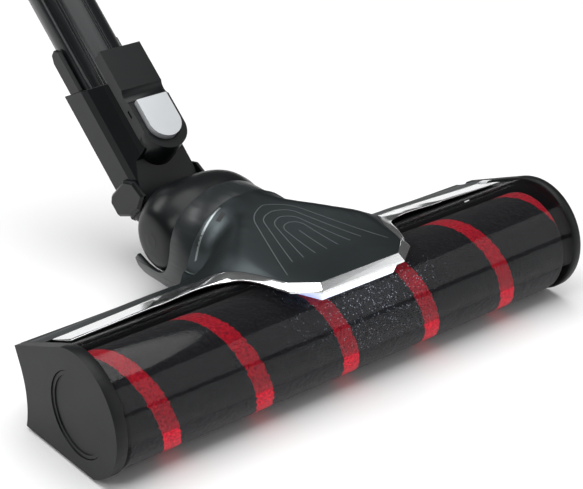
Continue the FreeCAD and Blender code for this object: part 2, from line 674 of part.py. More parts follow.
def make_roof():
    columns = cover_columns()
    skin = skin_solid(columns, shell_wall)
    surface = grid_surface(columns).toShape()
    inner, outer = trim_profile()
    far = inner_half - 0.2
    # the cover ends along the trim's rear edge: straight nose, sharp corners, swoop, straight strip
    swoop = inner[1:]
    right_far = Vector(far, strip_back, 0)
    edges = []
    for sign in (-1, 1):
        curve = spline([Vector(sign * x, y, 0) for x, y in swoop]).toShape()
        corner = Vector(sign * inner[0][0], inner[0][1], 0)
        bend = Vector(sign * swoop[0][0], swoop[0][1], 0)
        end = Vector(sign * swoop[-1][0], swoop[-1][1], 0)
        side = Vector(sign * far, right_far.y, 0)
        edges += [Part.makeLine(corner, bend), curve, Part.makeLine(end, side),
                  Part.makeLine(side, Vector(sign * far, hump_back + 20, 0))]
    nose = Vector(inner[0][0], inner[0][1], 0)
    edges.append(Part.makeLine(Vector(-nose.x, nose.y, 0), nose))
    edges.append(Part.makeLine(Vector(-far, hump_back + 20, 0), Vector(far, hump_back + 20, 0)))
    outline_wire = Part.Wire(Part.__sortEdges__(edges))
    block = Part.Face(outline_wire).extrude(Vector(0, 0, 90))
    cover = skin.common(block)
    feature("top_cover", cover.Solids[0])

    def lift(x, y):
        return Vector(x, y - trim_gap, surface_height(surface, x, y))

    first = [lift(x, y) for x, y in inner]
    second = [Vector(x, y, z) for x, y, z in outer]
    last = {}
    for sign, reach in ((-1, trim_left), (1, trim_right)):
        share = (reach - second[-1].x) / (far - second[-1].x)
        front = second[-1] + (Vector(far, strip_front, roof(strip_front)) - second[-1]) * share
        last[sign] = (lift(reach, strip_back), Vector(reach, front.y, front.z))

    def mirrored(points, sign):
        return [Vector(sign * p.x, p.y, p.z) for p in points]

    right = []
    left = []
    for sign, chain in ((1, right), (-1, left)):
        chain.append((mirrored(first[:2], sign), mirrored(second[:2], sign)))
        chain.append((mirrored(first[1:], sign), mirrored(second[1:], sign)))
        end = last[sign]
        chain.append((mirrored([first[-1], end[0]], sign), mirrored([second[-1], end[1]], sign)))
    flipped = [(a[::-1], b[::-1]) for a, b in reversed(left)]
    middle = ([flipped[-1][0][-1], first[0]], [flipped[-1][1][-1], second[0]])
    feature("bright_trim", ruled_band(flipped + [middle] + right, trim_thick))
    tail_y = strip_back - 6.4
    tail = [Vector(trim_right + 0.1, y, roof(y) + z) for y, z in
            ((tail_y, -0.6), (strip_back - 0.2, -0.6), (strip_back - 0.2, 0.9), (tail_y, 0.9))]
    feature("trim_end", prism(tail, Vector(3.4, 0, 0)))
    # bed under the strip, black rear wall, lamp
    bed_top = trim_thick + 0.4
    bed = [
        (bed_front, roof(bed_front) - bed_top),
        (strip_back - 0.6, roof(strip_back - 0.6) - bed_top),
        (strip_back - 0.6, roof(strip_back - 0.6) - bed_top - 1.6),
        (bed_front, roof(bed_front) - bed_top - 1.6),
    ]
    feature("strip_bed", prism([Vector(-inner_half + 0.2, y, z) for y, z in bed],
                               Vector(2 * inner_half - 0.4, 0, 0)))
    edge_z = roof(roof_depth) - shell_wall - 0.7
    wall = [
        (roof_depth - 0.4, edge_z), (46.8, 28.0), (44.9, 16.0), (45.2, 5.0),
        (43.4, 5.0), (43.1, 16.0), (45.0, 28.6), (roof_depth - 2.8, edge_z),
    ]
    back_wall = prism([Vector(-inner_half + 0.2, y, z) for y, z in wall],
                      Vector(2 * inner_half - 0.4, 0, 0))
    side = drum_radius + 1.5
    back_wall = back_wall.cut(tool_box(-side, side, 40, 60, 0, 50))
    left, right = back_wall.Solids
    feature("rear_wall_left", left if left.CenterOfMass.x < 0 else right)
    feature("rear_wall_right", right if left.CenterOfMass.x < 0 else left)
    top = nose_height - 3.5
    front = -nose_front - 1.1
    tip = nose_half

    def lens_wire(inset, z):
        points = [(tip - inset, front + inset), (tip + 9.4 - inset, front + 8.6),
                  (tip + 11.0 - inset, front + 15.0)]
        ring = [Vector(x, y, z) for x, y in points] + [Vector(-x, y, z) for x, y in reversed(points)]
        return Part.makePolygon(ring + [ring[0]])

    lens = loft([lens_wire(2.6, top - 9.0), lens_wire(0.2, top)])
    seat = window_radius + 0.25
    lens = lens.cut(rod(seat, Vector(-60, 0, axis_z), X_AXIS, 120))
    feature("lamp_lens", lens.Solids[0])
    feature("lamp_board", tool_box(-nose_half, nose_half, -17.0, -7.0, top + 0.2, top + 1.2))


def rounded_section(y, half_x, half_z, centre_z, radius):
    """A rounded rectangle standing across the Y axis."""
    x0, x1 = -half_x, half_x
    z0, z1 = centre_z - half_z, centre_z + half_z
    box = Part.makePolygon([Vector(x0, y, z0), Vector(x1, y, z0), Vector(x1, y, z1),
                            Vector(x0, y, z1), Vector(x0, y, z0)])
    slab = Part.Face(box).extrude(Vector(0, 1, 0))
    edges = [e for e in slab.Edges if abs(e.tangentAt(e.FirstParameter).y) > 0.9]
    slab = slab.makeFillet(radius, edges)
    faces = [f for f in slab.Faces if abs(f.CenterOfMass.y - y) < 1e-6]
    return faces[0].OuterWire


def make_duct():
    """Air duct from the roller chamber's mouth to the swivel drum."""
    front = wall_out_y() + 0.3
    back = drum_front - 4.2
    wide = spigot_radius - 1.5
    high = spigot_radius - 3.5
    duct_wall = 1.6
    mouth_mid = (mouth_low + mouth_high) / 2
    tall = (mouth_high - mouth_low) / 2
    outer = loft([rounded_section(front, mouth_half, tall, mouth_mid, 5),
                  rounded_section(back, wide, high, drum_height, 12)])
    inner = loft([rounded_section(front - 0.01, mouth_half - duct_wall, tall - duct_wall, mouth_mid, 4),
                  rounded_section(back + 0.01, wide - duct_wall, high - duct_wall, drum_height,
                                  12 - duct_wall)])
    feature("air_duct", outer.cut(inner))


def wall_out_y():
    """Rear face of the chamber wall."""
    return roller_radius + chamber_gap + 1.6


# ---- swivel drum -----------------------------------------------------------------------------
def make_drum():
    """Drum that turns about the fore-aft axis and cradles the elbow's trunnions."""
    def along_y(radius, y0, y1):
        return rod(radius, Vector(0, y0, drum_height), Y_AXIS, y1 - y0)

    face = hump_back + seat_gap
    drum = along_y(drum_radius, face, chin_back)
    drum = drum.fuse(along_y(spigot_radius, drum_front - 2, face + 1))
    drum = drum.cut(along_y(drum_radius - drum_wall, face + drum_wall, chin_back + 1))
    drum = drum.cut(along_y(spigot_radius - spigot_wall, drum_front - 3, face + 6))
    notch = trunnion_radius + slide_gap
    rise_y = tilt_y + math.sqrt(notch ** 2 - (tilt_z - chin_top) ** 2)
    wide = 2 * drum_radius + 4

    def side(points):
        return prism([Vector(-wide / 2, y, z) for y, z in points], Vector(wide, 0, 0))

    top = side([(drum_rim - 2.0, 70), (drum_rim + 0.6, 50), (tilt_y - notch, tilt_z),
                (rise_y, tilt_z), (rise_y, chin_top), (chin_back - 4.5, chin_top + 1.0),
                (chin_back - 1.0, chin_top - 2.5), (chin_back + 0.2, chin_top - 8.0),
                (chin_back + 20, chin_top - 8.0), (chin_back + 20, 70)])
    cradle = rod(notch, Vector(-wide / 2, tilt_y, tilt_z), X_AXIS, wide)
    heel = side([(chin_back - 7.0, -1.0), (chin_back - 3.0, 3.0), (chin_back - 0.4, 8.5),
                 (chin_back + 2, 12), (chin_back + 2, -1.0)])
    drum = drum.cut(top).cut(cradle).cut(heel)
    feature("swivel_drum", drum)
    bearing = along_y(spigot_radius + 2.6, drum_front, hump_back - 0.4)
    feature("drum_bearing", bearing.cut(along_y(spigot_radius + shaft_gap, 40, 70)))
    clip = along_y(spigot_radius + 1.8, drum_front - 3.6, drum_front - 0.2)
    clip = clip.cut(along_y(spigot_radius, drum_front - 2, drum_front + 1))
    feature("drum_clip", clip.cut(along_y(spigot_radius - spigot_wall, 40, 70)))


# ---- neck ------------------------------------------------------------------------------------
def tube_solid(points, low, high):
    """Solid with an outline given as (across, normal), from low to high along the tube."""
    base = [tube_point(low, n, x) for x, n in points]
    return prism(base, tube_point(high, 0) - tube_point(low, 0))


def side_solid(points, x0, x1):
    """Solid with an outline given as (along, normal) in the tube's side view."""
    base = [tube_point(s, n, x0) for s, n in points]
    return prism(base, Vector(x1 - x0, 0, 0))


def tube_rod(radius, low, high, normal=None):
    n = -tube_offset if normal is None else normal
    start = tube_point(low, n)
    return rod(radius, start, (tube_point(1, 0) - tube_point(0, 0)), high - low)


def make_elbow():
    """Barrel with two trunnions, and the stub that carries the sleeve."""
    centre = Vector(0, tilt_y, tilt_z)
    end = drum_radius - 1.2
    side = [(end - 16.8, ball_radius - 0.8), (end - 9.8, ball_radius - 3.3), (end - 5.8, ball_radius - 6.1),
            (end - 2.9, trunnion_radius - 0.2), (end - 1.3, trunnion_radius - 2.6),
            (end - 0.4, trunnion_radius - 6.2), (end, 3.0)]
    bulge = [(-x, r) for x, r in reversed(side)] + [(0, ball_radius)] + side
    curve = spline([Vector(x, 0, r) for x, r in bulge]).toShape()
    tail = Part.makePolygon([Vector(end, 0, 3.0), Vector(end, 0, 0), Vector(-end, 0, 0),
                             Vector(-end, 0, 3.0)])
    face = Part.Face(Part.Wire([curve] + tail.Edges))
    barrel = face.revolve(Vector(0, 0, 0), X_AXIS, 360)
    barrel.translate(centre)
    foot_half = 13.4
    foot_n = foot_half - sleeve_back_n - 0.3
    foot = loft([stub_wire(100.0, 15.0, 10.0, -43.0, 7.0),
                 stub_wire(sleeve_low, sleeve_side - 0.5, foot_half, foot_n, 7.0)])
    elbow = barrel.fuse(foot)
    hollow = rod(19.0, centre - X_AXIS * 14, X_AXIS, 28)
    way_in = rod(14.5, Vector(0, tilt_y - 40, tilt_z - 3), Y_AXIS, 40)
    way_out = loft([stub_wire(92.0, 11.0, 7.0, -42.0, 6.0),
                    stub_wire(sleeve_low + 1, 12.0, 8.0, -52.0, 6.0)])
    elbow = elbow.cut(hollow).cut(way_in).cut(way_out)
    feature("elbow", elbow)


def stub_wire(along, half_x, half_n, normal, radius):
    """A rounded rectangle across the tube's direction."""
    corners = [(-half_x, normal - half_n), (half_x, normal - half_n),
               (half_x, normal + half_n), (-half_x, normal + half_n)]
    slab = tube_solid(corners, along, along + 1)
    up = tube_point(1, 0)
    edges = [e for e in slab.Edges if abs(e.tangentAt(e.FirstParameter).dot(up)) > 0.9]
    slab = slab.makeFillet(radius, edges)
    middle = tube_point(along, normal)
    faces = sorted(slab.Faces, key=lambda f: f.CenterOfMass.distanceToPoint(middle))
    return faces[0].OuterWire


def rim_cut():
    """Wedge above the sleeve's slanted rim."""
    back = -tube_offset - 30
    front = -5.0
    drop = rim_slope * (front + sleeve_back_n)
    top = sleeve_high
    return side_solid([(top - rim_slope * (back + sleeve_back_n), back), (top - drop, front),
                       (top + 80, front), (top + 80, back)], -40, 40)


def d_solid(half_width, low, high, n0, n1):
    """D-shaped plate of the latch housing and button, between two levels of the tube's normal."""
    centre = low + half_width
    block = tube_solid([(-half_width, n0), (half_width, n0), (half_width, n1), (-half_width, n1)],
                       centre, high)
    up = tube_point(0, 1)
    return block.fuse(rod(half_width, tube_point(centre, n0), up, n1 - n0)).removeSplitter()


def make_sleeve():
    """Sleeve that takes the tube, its rim slanting down to the front."""
    back = -sleeve_back_n
    side = sleeve_side
    shape = [(-side + 3, back), (side - 3, back), (side, back + 3), (side, -tube_offset + 2),
             (side - 1.2, -tube_offset + 6), (side - 3.6, -tube_offset + 10),
             (house_half + 0.4, -tube_offset + 13), (house_half - 1.5, -sleeve_front_n),
             (-house_half + 1.5, -sleeve_front_n), (-house_half - 0.4, -tube_offset + 13),
             (-side + 3.6, -tube_offset + 10), (-side + 1.2, -tube_offset + 6),
             (-side, -tube_offset + 2), (-side, back + 3)]
    body = tube_solid(shape, sleeve_low, sleeve_high + 10).cut(rim_cut())
    # throat: the front slopes in below the housing
    body = body.cut(side_solid([(house_low + 8, -sleeve_front_n + 2), (house_low + 5, -35.5),
                                (sleeve_low - 1, -43.5), (sleeve_low - 1, -10)], -40, 40))
    outer = body.copy()
    body = body.cut(tube_rod(tube_radius + sleeve_gap, tube_seat, sleeve_high + 20))
    throat = loft([stub_wire(sleeve_low - 1, 12.0, 8.0, -52.0, 6.0),
                   stub_wire(tube_seat + 1, 12.0, 8.0, -49.0, 6.0)])
    body = body.cut(throat)
    feature("neck_sleeve", body)
    return outer


def make_latch(sleeve_outer):
    """Latch housing with its button pocket, the button and its spring."""
    face = -house_front
    house = d_solid(house_half, house_low, house_high, -sleeve_front_n - 9.5, face)
    above = tube_solid([(-30, -60), (30, -60), (30, -sleeve_front_n), (-30, -sleeve_front_n)],
                       house_low + 6, house_high + 5)
    house = house.cut(above).cut(sleeve_outer)
    house = max(house.Solids, key=lambda s: s.Volume)
    well = d_solid(button_half + slide_gap, button_low - slide_gap, button_high + slide_gap,
                   -sleeve_front_n + 0.9, face + 1)
    scoop = rod(5.2, tube_point(button_high + 4.2, face + 3.6, -30), X_AXIS, 60)
    side_slot = tube_solid([(-house_half - 1, face - 4.4), (-house_half + 0.5, face - 4.4),
                            (-house_half + 0.5, face - 3.0), (-house_half - 1, face - 3.0)],
                           button_high - 5.5, button_high - 1.5)
    feature("latch_housing", house.cut(well).cut(scoop).cut(side_slot))
    level = face + button_rise
    button = d_solid(button_half, button_low, button_high, level - 6.0, level)
    middle = button_low + button_half + 1
    spring_low = -sleeve_front_n + 0.9
    up = tube_point(0, 1)
    bore = rod(2.7, tube_point(middle, level - 7.0), up, 5.0)
    feature("release_button", button.cut(bore))
    coil = rod(2.3, tube_point(middle, spring_low), up, level - 2.3 - button_rise - spring_low)
    feature("button_spring", coil.cut(rod(1.3, tube_point(middle, spring_low - 1), up, 12)))


def make_ears():
    """Side covers of the sleeve's lower end, with bevelled edges."""
    side = sleeve_side
    low = sleeve_low
    low_n = -sleeve_back_n - 3.6
    shape = [(low + 16.6, low_n + 3.8), (low + 15.6, -tube_offset), (low + 10.6, -tube_offset + 6.7),
             (low + 1.0, -tube_offset + 8.9), (low - 1.4, -tube_offset - 0.5),
             (low + 0.2, -tube_offset - 9.5), (low + 6.0, low_n), (low + 14.4, low_n)]
    for mark, name in ((-1, "left"), (1, "right")):
        plate = side_solid(shape, mark * side, mark * (side + 2.4))
        outer = [e for e in plate.Edges
                 if abs(e.CenterOfMass.x - mark * (side + 2.4)) < 1e-6]
        feature("neck_ear_" + name, plate.makeChamfer(1.3, outer))


def make_tongues(sleeve_outer):
    """Thin guide tongues that stand above the rim beside the tube."""
    mid = tube_offset
    foot = sleeve_high - 14.5
    side = sleeve_side
    for mark, name in ((-1, "left"), (1, "right")):
        x0, x1 = sorted((mark * (side - 0.1), mark * (side - 2.3)))
        plate = side_solid([(foot, -mid - 7.5), (foot + 29, -mid - 7.5), (foot + 32.6, -mid - 5.5),
                            (foot + 33, -mid - 1.5), (foot + 30, -mid + 1.3), (foot, -mid + 1.3)], x0, x1)
        feature("guide_tongue_" + name, plate.cut(sleeve_outer))


def make_tube():
    """Extension tube with long grooves, and the ring at its open end."""
    tube = tube_rod(tube_radius, tube_seat + 0.3, tube_end)
    for angle, wide, deep in tube_grooves:
        a = math.radians(angle)
        centre = tube_radius + wide / 2 - deep
        x = -math.cos(a) * centre
        n = -tube_offset + math.sin(a) * centre
        cut = rod(wide / 2, tube_point(tube_seat, n, x), tube_point(1, 0), 200)
        tube = tube.cut(cut)
    tube = tube.cut(tube_rod(tube_radius - tube_wall, tube_seat - 1, tube_end + 2))
    feature("extension_tube", tube)
    ring = tube_rod(tube_radius + 1.4, tube_end - 4, tube_end + 6)
    ring = ring.cut(tube_rod(tube_radius, tube_end - 5, tube_end))
    feature("tube_end_ring", ring.cut(tube_rod(tube_radius - tube_wall, tube_end - 6, tube_end + 8)))


make_roller()
make_drive()
make_caps()
make_window()
make_chassis()
make_base_fittings()
make_roof()
make_duct()
make_drum()
make_elbow()
outer_sleeve = make_sleeve()
make_latch(outer_sleeve)
make_ears()
make_tongues(outer_sleeve)
make_tube()
doc.recompute()

# ---- origin at the bottom centre, checks and export ------------------------------------------
whole = FreeCAD.BoundBox()
for item in parts.values():
    whole.add(item.Shape.BoundBox)
shift = -(whole.YMin + whole.YMax) / 2
for item in parts.values():
    place = item.Placement
    place.Base = place.Base + Vector(0, shift, 0)
    item.Placement = place
doc.recompute()

for item in doc.Objects:
    if "Invalid" in item.State or "Error" in item.State:
        raise ValueError("%s: %s" % (item.Name, item.State))
for label, item in parts.items():
    if item.Shape.isNull() or not item.Shape.isValid():
        raise ValueError("bad shape: " + label)
    item.Shape.exportStep("parts/%s.step" % label)
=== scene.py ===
import math

import bpy
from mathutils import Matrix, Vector, noise
from mathutils.bvhtree import BVHTree


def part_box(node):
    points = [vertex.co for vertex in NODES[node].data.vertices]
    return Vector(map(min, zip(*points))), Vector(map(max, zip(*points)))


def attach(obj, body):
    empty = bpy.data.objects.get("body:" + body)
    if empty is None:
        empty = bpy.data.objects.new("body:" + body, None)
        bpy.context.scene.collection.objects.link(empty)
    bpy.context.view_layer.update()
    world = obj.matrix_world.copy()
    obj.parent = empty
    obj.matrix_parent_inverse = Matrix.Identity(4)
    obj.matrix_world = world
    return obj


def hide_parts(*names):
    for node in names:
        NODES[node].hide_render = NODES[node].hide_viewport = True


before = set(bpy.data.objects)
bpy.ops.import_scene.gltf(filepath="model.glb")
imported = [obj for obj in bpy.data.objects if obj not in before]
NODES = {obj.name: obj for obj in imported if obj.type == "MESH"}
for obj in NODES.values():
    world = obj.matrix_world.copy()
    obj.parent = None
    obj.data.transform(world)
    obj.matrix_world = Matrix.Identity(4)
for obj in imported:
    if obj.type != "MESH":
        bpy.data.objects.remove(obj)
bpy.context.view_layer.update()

MM = 0.001
SHIFT_Y = -107.0836 * MM  # the roller window's axis, along Y
WINDOW_Z = 27.65 * MM
ROLLER_Z = 24.55 * MM
ROLLER_R = 24.5 * MM
ROLLER_HALF = 121.8 * MM
PILE_DEPTH = 6.0 * MM
PILE_CORNER = 1.2 * MM  # rounding of the pile's ends

# one stripe winds round the roller; lengths along it in millimetres, turns from the +Y direction
STRIPE_PITCH = 46.85
STRIPE_WIDE = 8.6
STRIPE_AT_LIP = 102.2  # first stripe's centre left of the middle, at the window's lower lip
LIP_TURN = 190.5 / 360.0
STRIPE_START = STRIPE_AT_LIP + STRIPE_PITCH * LIP_TURN + 0.5 * STRIPE_PITCH

# where the lamp's painted glints and glow lie on the window: their middle and their reach along X and Y
GLOW_X, GLOW_REACH_X = 4.0 * MM, 38.0 * MM
GLOW_Y, GLOW_REACH_Y = SHIFT_Y - 20.5 * MM, 7.5 * MM
LAMP_WIDE = 66.0 * MM

CAMERA_PLACE = (-0.4240, -0.4973 + SHIFT_Y, 0.3890)
CAMERA_DOWN = 26.65  # degrees below level
CAMERA_TURN = -38.96  # degrees about the vertical
CAMERA_LENS = 105.8


# ---- materials -------------------------------------------------------------------------------
class Maker:
    """A material with its Principled shader and short ways to add nodes."""

    def __init__(self, name, color, rough, metallic=0.0, specular=0.5, coat=0.0, coat_rough=0.05):
        self.material = bpy.data.materials.new(name)
        self.material.use_nodes = True
        self.tree = self.material.node_tree
        self.shader = self.tree.nodes["Principled BSDF"]
        self.put("Base Color", (*color, 1.0))
        self.put("Roughness", rough)
        self.put("Metallic", metallic)
        self.put("Specular IOR Level", specular)
        self.put("Coat Weight", coat)
        self.put("Coat Roughness", coat_rough)
        self.base = color
        self.rough = rough
        coords = self.add("ShaderNodeTexCoord")
        self.coords = coords.outputs["Object"]

    def put(self, socket, value):
        self.shader.inputs[socket].default_value = value

    def add(self, kind, **values):
        node = self.tree.nodes.new(kind)
        for key, value in values.items():
            setattr(node, key, value)
        return node

    def link(self, out, into):
        self.tree.links.new(out, into)

    def math(self, operation, a, b=0.0, c=0.0):
        node = self.add("ShaderNodeMath", operation=operation)
        for index, value in enumerate((a, b, c)):
            if isinstance(value, (int, float)):
                node.inputs[index].default_value = value
            else:
                self.link(value, node.inputs[index])
        return node.outputs[0]

    def noise(self, scale, detail=3.0, roughness=0.6, stretch=None):
        node = self.add("ShaderNodeTexNoise")
        node.inputs["Scale"].default_value = scale
        node.inputs["Detail"].default_value = detail
        node.inputs["Roughness"].default_value = roughness
        source = self.coords
        if stretch:
            mapping = self.add("ShaderNodeMapping")
            mapping.inputs["Scale"].default_value = stretch
            self.link(self.coords, mapping.inputs["Vector"])
            source = mapping.outputs["Vector"]
        self.link(source, node.inputs["Vector"])
        return node.outputs["Fac"]

    def dots(self, scale, radius, share):
        """1 inside small round dots, which sit in a share of the cells of a grid, and 0 between them."""
        cells = self.add("ShaderNodeTexVoronoi")
        cells.inputs["Scale"].default_value = scale
        self.link(self.coords, cells.inputs["Vector"])
        split = self.add("ShaderNodeSeparateXYZ")
        self.link(cells.outputs["Color"], split.inputs[0])
        inside = self.math("LESS_THAN", cells.outputs["Distance"], radius)
        return self.math("MULTIPLY", inside, self.math("LESS_THAN", split.outputs[0], share))

    def ramp(self, value, stops):
        node = self.add("ShaderNodeValToRGB")
        ramp = node.color_ramp
        while len(ramp.elements) < len(stops):
            ramp.elements.new(0.5)
        for element, (place, color) in zip(ramp.elements, stops):
            element.position = place
            element.color = (*color, 1.0)
        self.link(value, node.inputs["Fac"])
        return node.outputs["Color"]

    def spread(self, value, low, high):
        node = self.add("ShaderNodeMapRange")
        node.inputs["To Min"].default_value = low
        node.inputs["To Max"].default_value = high
        self.link(value, node.inputs["Value"])
        return node.outputs["Result"]

    def bump(self, height, strength, distance):
        node = self.add("ShaderNodeBump")
        node.inputs["Strength"].default_value = strength
        node.inputs["Distance"].default_value = distance
        self.link(height, node.inputs["Height"])
        self.link(node.outputs["Normal"], self.shader.inputs["Normal"])

    def mottle(self, scale, amount):
        """Slight colour variation about the base colour."""
        low = tuple(max(0.0, v * (1 - amount)) for v in self.base)
        high = tuple(min(1.0, v * (1 + amount)) for v in self.base)
        colour = self.ramp(self.noise(scale), [(0.3, low), (0.7, high)])
        self.link(colour, self.shader.inputs["Base Color"])

    def vary_rough(self, scale, amount, stretch=None):
        value = self.noise(scale, stretch=stretch)
        spread = self.spread(value, self.rough - amount, self.rough + amount)
        self.link(spread, self.shader.inputs["Roughness"])


def moulded(name, color, rough, grain=0.25, scale=1500.0, specular=0.5):
    """Moulded plastic with a fine spark-eroded grain."""
    made = Maker(name, color, rough, specular=specular)
    made.mottle(35.0, 0.12)
    made.vary_rough(60.0, 0.05)
    made.bump(made.noise(scale, 2.0), grain, 0.00004)
    return made.material


def metal(name, color, rough, stretch=(1, 1, 1), scale=900.0, bump=0.1):
    made = Maker(name, color, rough, metallic=1.0)
    made.mottle(25.0, 0.06)
    made.vary_rough(120.0, 0.05, stretch)
    made.bump(made.noise(scale, 2.0, stretch=stretch), bump, 0.00003)
    return made.material


def pile_material():
    """Black pile with one red stripe that winds round the roller."""
    made = Maker("roller_pile_stripes", (0.006, 0.006, 0.008), 0.85, specular=0.25)
    split = made.add("ShaderNodeSeparateXYZ")
    made.link(made.coords, split.inputs[0])
    x, y, z = split.outputs
    turn = made.math("ARCTAN2", made.math("SUBTRACT", z, ROLLER_Z), made.math("SUBTRACT", y, SHIFT_Y))
    turn = made.math("DIVIDE", turn, 2 * math.pi)
    wobble = made.math("MULTIPLY", made.math("SUBTRACT", made.noise(420.0, 2.0), 0.5), 0.055)
    along = made.math("DIVIDE", made.math("ADD", x, STRIPE_START * MM), STRIPE_PITCH * MM)
    phase = made.math("ADD", made.math("SUBTRACT", along, turn), wobble)
    phase = made.math("ADD", phase, 20.0)
    away = made.math("ABSOLUTE", made.math("SUBTRACT", made.math("FRACT", phase), 0.5))
    inside = made.math("LESS_THAN", away, STRIPE_WIDE / STRIPE_PITCH / 2)
    soft = made.noise(900.0, 2.0)
    red = made.ramp(soft, [(0.3, (0.35, 0.0, 0.02)), (0.68, (1.0, 0.008, 0.035))])
    black = made.ramp(soft, [(0.3, (0.003, 0.003, 0.004)), (0.72, (0.022, 0.023, 0.027))])
    mix = made.add("ShaderNodeMix", data_type="RGBA")
    made.link(inside, mix.inputs["Factor"])
    made.link(black, mix.inputs["A"])
    made.link(red, mix.inputs["B"])
    made.link(mix.outputs["Result"], made.shader.inputs["Base Color"])
    made.put("Sheen Weight", 0.25)
    made.put("Sheen Roughness", 0.4)
    made.bump(made.noise(1600.0, 3.0), 0.9, 0.0004)
    return made.material


M = {}
M["pile"] = pile_material()
M["black"] = moulded("satin_black", (0.005, 0.0055, 0.006), 0.42, specular=0.25)
M["neck"] = moulded("neck_black", (0.0045, 0.0055, 0.006), 0.33, grain=0.3, specular=0.22)
M["drum"] = moulded("drum_graphite", (0.013, 0.016, 0.017), 0.36, grain=0.2, specular=0.3)
M["cap"] = moulded("cap_black", (0.005, 0.0055, 0.006), 0.45, grain=0.3, specular=0.22)
M["dark"] = moulded("inner_black", (0.01, 0.01, 0.011), 0.6)
M["grey"] = moulded("moulded_grey", (0.1, 0.1, 0.11), 0.5)
M["steel"] = metal("turned_steel", (0.62, 0.62, 0.62), 0.28, (8, 1, 1))
M["screw"] = metal("black_screw", (0.12, 0.12, 0.12), 0.35)
M["bronze"] = metal("sintered_bronze", (0.55, 0.38, 0.16), 0.45)
M["rubber"] = moulded("wheel_rubber", (0.02, 0.02, 0.02), 0.7, grain=0.5, scale=2500)
M["board"] = moulded("board_green", (0.02, 0.12, 0.05), 0.5)


def cover_material():
    made = Maker("graphite_cover", (0.075, 0.088, 0.092), 0.4, metallic=1.0)
    made.put("Specular Tint", (0.45, 0.45, 0.45, 1.0))
    made.mottle(14.0, 0.1)
    made.vary_rough(40.0, 0.03)
    made.bump(made.noise(4500.0, 1.0), 0.1, 0.00002)
    return made.material


def trim_material():
    made = Maker("bright_trim", (0.86, 0.87, 0.88), 0.16, metallic=1.0)
    made.mottle(20.0, 0.03)
    made.vary_rough(300.0, 0.04, (1, 12, 12))
    return made.material


def window_material():
    """Smoked clear plastic; under the nose, small specks on it carry painted glints of the lamp's light,
    over a faint painted glow.
    """
    made = Maker("smoked_window", (0.004, 0.004, 0.005), 0.06, specular=0.5)
    made.vary_rough(35.0, 0.02)
    split = made.add("ShaderNodeSeparateXYZ")
    made.link(made.coords, split.inputs[0])
    x, y, _ = split.outputs
    away_x = made.math("DIVIDE", made.math("SUBTRACT", x, GLOW_X), GLOW_REACH_X)
    away_y = made.math("DIVIDE", made.math("SUBTRACT", y, GLOW_Y), GLOW_REACH_Y)
    square_x = made.math("MULTIPLY", away_x, away_x)
    far = made.math("ADD", square_x, made.math("MULTIPLY", away_y, away_y))
    near = made.math("SUBTRACT", 1.0, made.math("MINIMUM", made.math("MULTIPLY", far, 0.5), 1.0))
    # small specks near the lamp that take painted glints of its light
    glint_specks = made.dots(1000.0, 0.22, made.math("MULTIPLY", made.math("POWER", near, 1.6), 0.4))
    glow = made.math("MULTIPLY", glint_specks, made.math("ADD", 0.15, made.math("MULTIPLY", near, 0.7)))
    # a faint painted pool of the lamp's light on the window
    glow = made.math("ADD", glow, made.math("MULTIPLY", made.math("POWER", near, 5.0), 0.04))
    tint = made.ramp(glow, [(0.0, (0.0, 0.0, 0.0)), (1.0, (0.72, 0.78, 1.0))])
    # the painted lamp light goes in as emission, and the window is more opaque under it
    made.link(tint, made.shader.inputs["Emission Color"])
    made.put("Emission Strength", 0.8)
    opaque = made.math("ADD", 0.25, made.math("MULTIPLY", glow, 0.6))
    made.link(opaque, made.shader.inputs["Alpha"])
    return made.material


def lamp_material():
    """Clear lens lit from behind, white in the middle and bluer at its left end."""
    made = Maker("lamp_lens", (0.75, 0.82, 1.0), 0.12)
    split = made.add("ShaderNodeSeparateXYZ")
    made.link(made.coords, split.inputs[0])
    along = made.math("ADD", made.math("DIVIDE", split.outputs[0], LAMP_WIDE), 0.5)
    uneven = made.math("SUBTRACT", made.noise(900.0), 0.5)
    along = made.math("ADD", along, made.math("MULTIPLY", uneven, 0.5))
    glow = made.ramp(along, [
        (0.0, (0.08, 0.10, 0.30)),
        (0.16, (0.36, 0.42, 0.85)),
        (0.3, (0.95, 0.97, 1.0)),
        (0.92, (1.0, 1.0, 1.0)),
        (1.0, (0.3, 0.34, 0.7)),
    ])
    made.link(glow, made.shader.inputs["Emission Color"])
    made.put("Emission Strength", 0.9)
    return made.material


def tube_material():
    made = Maker("anodised_tube", (0.008, 0.009, 0.010), 0.32, metallic=0.2, specular=0.35)
    made.mottle(30.0, 0.1)
    made.bump(made.noise(2200.0, 2.0), 0.12, 0.00002)
    return made.material


def felt_material():
    made = Maker("felt", (0.09, 0.012, 0.012), 0.95, specular=0.1)
    made.mottle(500.0, 0.5)
    made.put("Sheen Weight", 0.4)
    made.bump(made.noise(2200.0, 4.0), 0.9, 0.0003)
    return made.material


def button_material():
    made = Maker("silver_button", (0.62, 0.64, 0.66), 0.22, metallic=0.35, coat=0.5)
    made.mottle(30.0, 0.03)
    made.bump(made.noise(2500.0, 1.0), 0.05, 0.00002)
    return made.material


M["cover"] = cover_material()
M["trim"] = trim_material()
M["window"] = window_material()
M["lamp"] = lamp_material()
M["tube"] = tube_material()
M["felt"] = felt_material()
M["button"] = button_material()

